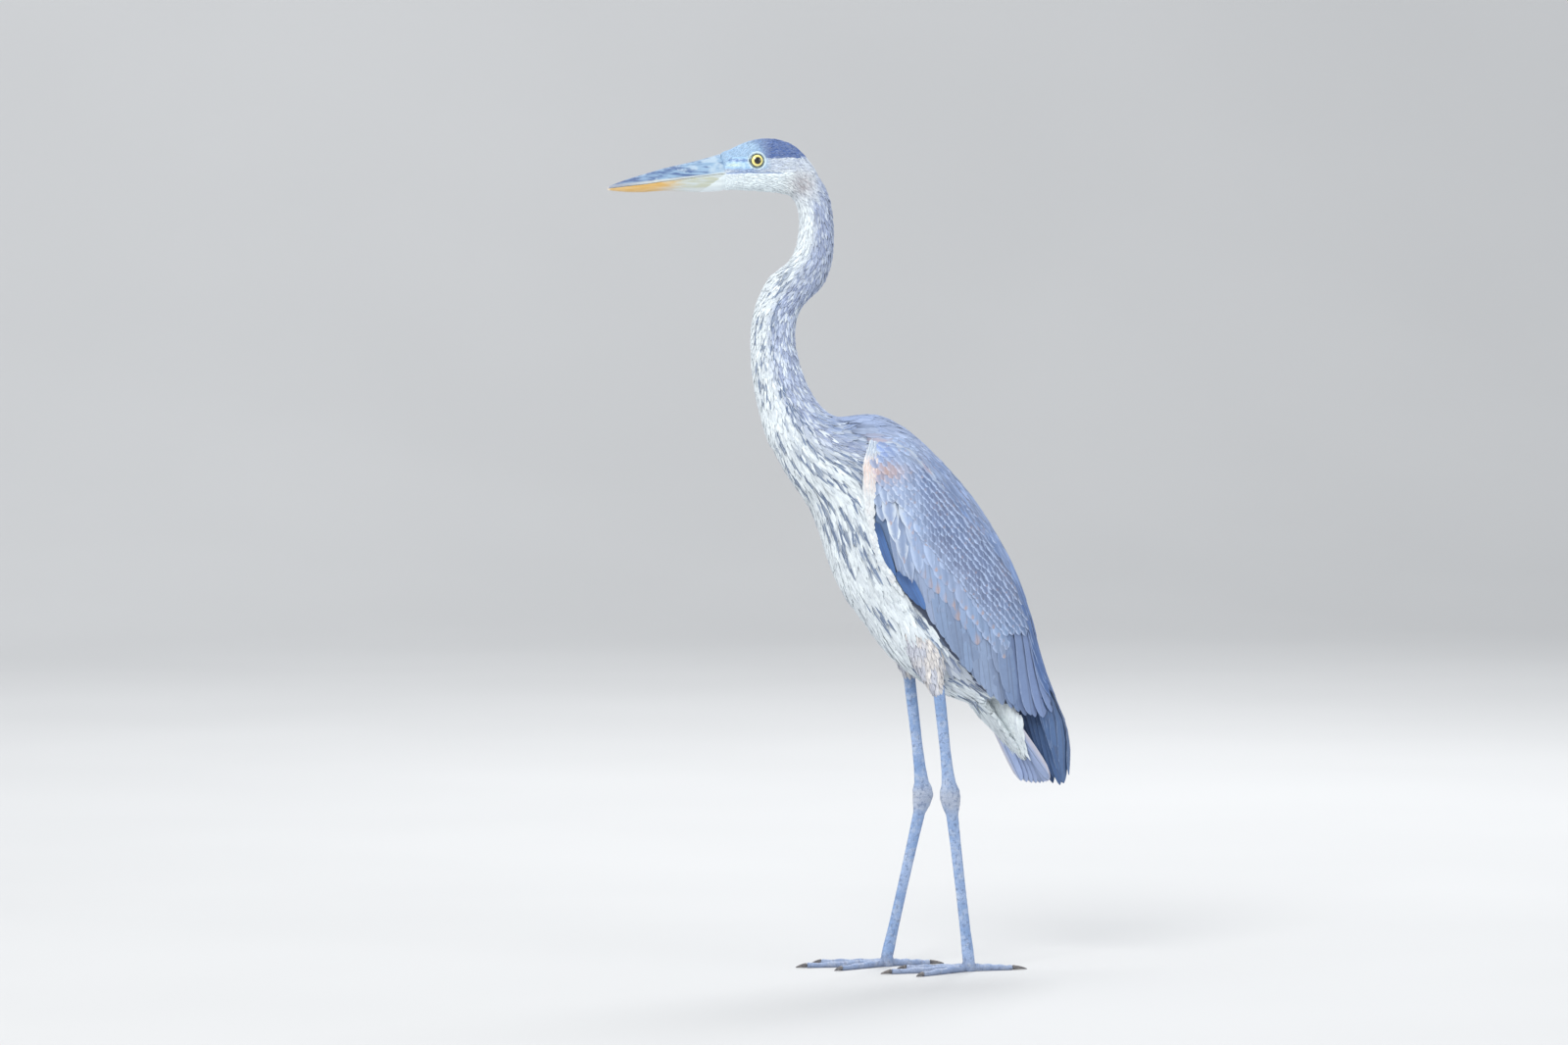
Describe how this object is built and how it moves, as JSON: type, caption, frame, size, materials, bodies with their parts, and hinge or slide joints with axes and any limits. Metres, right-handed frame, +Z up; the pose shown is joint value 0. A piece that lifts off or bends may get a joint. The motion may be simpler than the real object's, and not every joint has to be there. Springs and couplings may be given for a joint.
{
  "type": "young great blue heron, standing, still model",
  "caption": "Life-size still model of a young great blue heron standing on both feet with its neck raised and wings folded.",
  "frame": {"origin": "centre of the bounding box in plan, on the floor plane under the soles", "axes": "+Z up, -X the way the bird faces, -Y its left side"},
  "size_m": [0.5438, 0.1678, 0.9397],
  "materials": {
    "body_plumage": "soft grey and white feathers, dark crown, dark streaks down the front",
    "wing_plumage": "smooth blue-grey feathers with pale and rusty edges",
    "flight_feathers": "firm slate-blue feathers",
    "white_down": "soft creamy white feathers",
    "thigh_down": "short buff-pink feathers",
    "upper_bill": "slate-blue horn with pale streaks",
    "lower_bill": "orange-yellow horn, paler toward the face",
    "eye": "wet, yellow iris round a black pupil",
    "leg_skin": "bluish-grey scaly skin",
    "claw": "dark horn"
  },
  "bodies": {
    "root": {"head": "body_plumage", "neck_upper": "body_plumage", "neck_middle": "body_plumage", "neck_lower": "body_plumage", "trunk": "body_plumage", "undertail_coverts": "white_down", "tail": "flight_feathers", "bill_upper": "upper_bill", "bill_lower": "lower_bill", "eye_left": "eye", "wing_left": "wing_plumage", "wing_tip_left": "flight_feathers", "thigh_left": "thigh_down", "shank_left": "leg_skin", "ankle_left": "leg_skin", "tarsus_left": "leg_skin", "foot_left": "leg_skin", "toe_middle_left": "leg_skin", "claw_middle_left": "claw", "toe_outer_left": "leg_skin", "claw_outer_left": "claw", "toe_inner_left": "leg_skin", "claw_inner_left": "claw", "toe_hind_left": "leg_skin", "claw_hind_left": "claw", "eye_right": "eye", "wing_right": "wing_plumage", "wing_tip_right": "flight_feathers", "thigh_right": "thigh_down", "shank_right": "leg_skin", "ankle_right": "leg_skin", "tarsus_right": "leg_skin", "foot_right": "leg_skin", "toe_middle_right": "leg_skin", "claw_middle_right": "claw", "toe_outer_right": "leg_skin", "claw_outer_right": "claw", "toe_inner_right": "leg_skin", "claw_inner_right": "claw", "toe_hind_right": "leg_skin", "claw_hind_right": "claw"}
  },
  "joints": []
}
